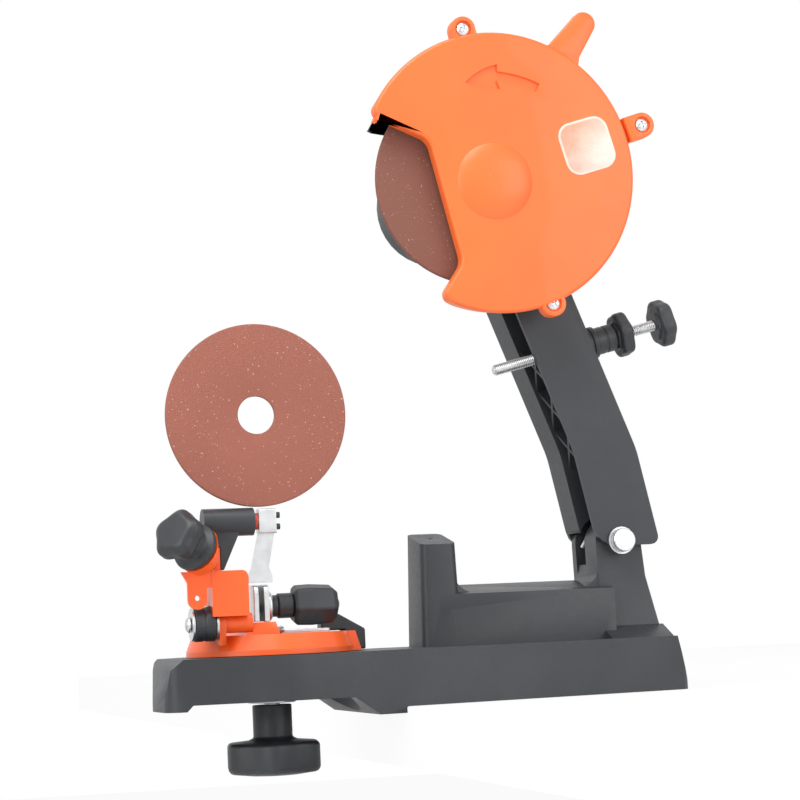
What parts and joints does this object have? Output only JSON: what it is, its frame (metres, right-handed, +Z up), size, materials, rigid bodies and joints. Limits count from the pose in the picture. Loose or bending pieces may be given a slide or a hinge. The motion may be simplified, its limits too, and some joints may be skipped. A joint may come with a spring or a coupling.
{
  "type": "saw chain sharpener",
  "caption": "Bench grinder for saw chains: a sprung motor arm with a guarded disc swings down over a turntable vise with a pawl stop, on a screw-down base.",
  "frame": {"origin": "on the bench plane, under the cross rib just behind the bench lip", "axes": "+Z up, -X towards the vise, +X towards the tower, -Y towards the open side of the guard"},
  "size_m": [0.2987, 0.1525, 0.3857],
  "materials": {
    "black_plastic": "fine grained moulding",
    "orange_plastic": "smooth satin moulding",
    "zinc_steel": "bright zinc plate",
    "winding_copper": "lacquered winding",
    "motor_core": "stacked sheet",
    "abrasive": "bonded grit",
    "red_fibre": "pressed fibre"
  },
  "bodies": {
    "base": {"base_casting": "black_plastic", "pivot_pin": "zinc_steel", "pivot_clip_near": "zinc_steel", "pivot_clip_far": "zinc_steel", "return_spring": "zinc_steel", "lock_washer": "zinc_steel"},
    "head": {"arm_casting": "black_plastic", "motor_cover": "black_plastic", "switch_frame": "black_plastic", "cable_inlet": "black_plastic", "motor_stator": "winding_copper", "bearing_front": "zinc_steel", "bearing_rear": "zinc_steel", "rear_shield": "black_plastic", "disc_guard": "orange_plastic", "guard_screw_1": "zinc_steel", "guard_screw_2": "zinc_steel", "guard_screw_3": "zinc_steel", "depth_sleeve": "black_plastic"},
    "spindle": {"spindle_shaft": "zinc_steel", "motor_rotor": "motor_core", "inner_flange": "zinc_steel", "outer_flange": "zinc_steel", "grinding_disc": "abrasive", "spindle_nut": "zinc_steel"},
    "rocker": {"switch_rocker": "black_plastic"},
    "stop_lock": {"depth_lock_wheel": "black_plastic"},
    "stop_screw": {"depth_screw": "zinc_steel"},
    "stop_wheel": {"depth_end_wheel": "black_plastic"},
    "table": {"turntable_plate": "orange_plastic", "table_grip": "black_plastic", "support_plate": "zinc_steel", "plate_screw": "zinc_steel", "fixed_jaw": "zinc_steel", "clamp_screw": "zinc_steel", "hinge_bolt": "zinc_steel", "hinge_washer_outer": "zinc_steel", "hinge_washer_inner": "zinc_steel", "hinge_bush": "black_plastic", "lock_stud": "zinc_steel"},
    "table_lock": {"lock_knob": "black_plastic"},
    "jaw": {"moving_jaw": "zinc_steel", "clamp_nut": "zinc_steel", "clamp_collar": "black_plastic", "clamp_sleeve": "black_plastic"},
    "clamp": {"clamp_knob": "black_plastic"},
    "bracket": {"stop_bracket": "orange_plastic"},
    "stop": {"stop_arm": "black_plastic", "pawl_pin": "zinc_steel", "pawl_washer": "red_fibre"},
    "pawl": {"stop_pawl": "zinc_steel", "pawl_screw_1": "black_plastic", "pawl_screw_2": "black_plastic"},
    "star": {"star_knob": "black_plastic"},
    "spare": {"spare_disc": "abrasive"}
  },
  "joints": [
    {"name": "arm_swing", "type": "hinge", "parent": "base", "child": "head", "pos_m": [0.1248, 0, 0.079], "axis": [0, -1, 0], "range_deg": [0, 50], "stiffness_Nm_per_rad": 2, "springref_deg": -45.84},
    {"name": "spindle_spin", "type": "hinge", "parent": "head", "child": "spindle", "pos_m": [0.051, 0, 0.2676], "axis": [0, 1, 0], "continuous": true},
    {"name": "switch_rock", "type": "hinge", "parent": "head", "child": "rocker", "pos_m": [0.051, 0.074, 0.3016], "axis": [1, 0, 0], "range_deg": [0, 8]},
    {"name": "depth_lock_turn", "type": "hinge", "parent": "head", "child": "stop_lock", "pos_m": [0.13086, 0.024, 0.18817], "axis": [0.9694, 0, 0.2453], "range_deg": [-180, 180]},
    {"name": "depth_travel", "type": "slide", "parent": "head", "child": "stop_screw", "axis": [0.9694, 0, 0.2453], "range_m": [-0.0141, 0.0301]},
    {"name": "depth_wheel_turn", "type": "hinge", "parent": "stop_screw", "child": "stop_wheel", "pos_m": [0.16382, 0.024, 0.19651], "axis": [0.9694, 0, 0.2453], "range_deg": [-5090, 10850]},
    {"name": "table_turn", "type": "hinge", "parent": "base", "child": "table", "pos_m": [-0.068, 0, 0.0283], "axis": [0, 0, 1], "range_deg": [-35, 35]},
    {"name": "table_lock_turn", "type": "hinge", "parent": "table", "child": "table_lock", "pos_m": [-0.068, 0, -0.0145], "axis": [0, 0, 1], "range_deg": [-180, 180]},
    {"name": "jaw_open", "type": "slide", "parent": "table", "child": "jaw", "axis": [1, 0, 0], "range_m": [0, 0.0016]},
    {"name": "clamp_knob_turn", "type": "hinge", "parent": "jaw", "child": "clamp", "pos_m": [-0.05, -0.012, 0.052], "axis": [1, 0, 0], "range_deg": [0, 580]},
    {"name": "bracket_tilt", "type": "hinge", "parent": "table", "child": "bracket", "pos_m": [-0.1, -0.032, 0.0444], "axis": [1, 0, 0], "range_deg": [0, 20], "stiffness_Nm_per_rad": 0.4, "springref_deg": -17.19},
    {"name": "stop_slide", "type": "slide", "parent": "bracket", "child": "stop", "axis": [0, 1, 0], "range_m": [0, 0.005]},
    {"name": "star_knob_turn", "type": "hinge", "parent": "bracket", "child": "star", "pos_m": [-0.1102, -0.0417, 0.0805], "axis": [-0.664, -0.624, 0.412], "range_deg": [-180, 180]},
    {"name": "pawl_flip", "type": "hinge", "parent": "stop", "child": "pawl", "pos_m": [-0.075, -0.032, 0.0934], "axis": [-1, 0, 0], "range_deg": [0, 60]},
    {"name": "spare_lift", "type": "slide", "parent": "stop", "child": "spare", "axis": [0, 0, 1], "range_m": [0, 0.15]}
  ],
  "couplings": [
    {"joint": "depth_wheel_turn", "follows": "depth_travel", "rad_per_m": 6283.2},
    {"joint": "clamp_knob_turn", "follows": "jaw_open", "rad_per_m": 6283.2}
  ]
}
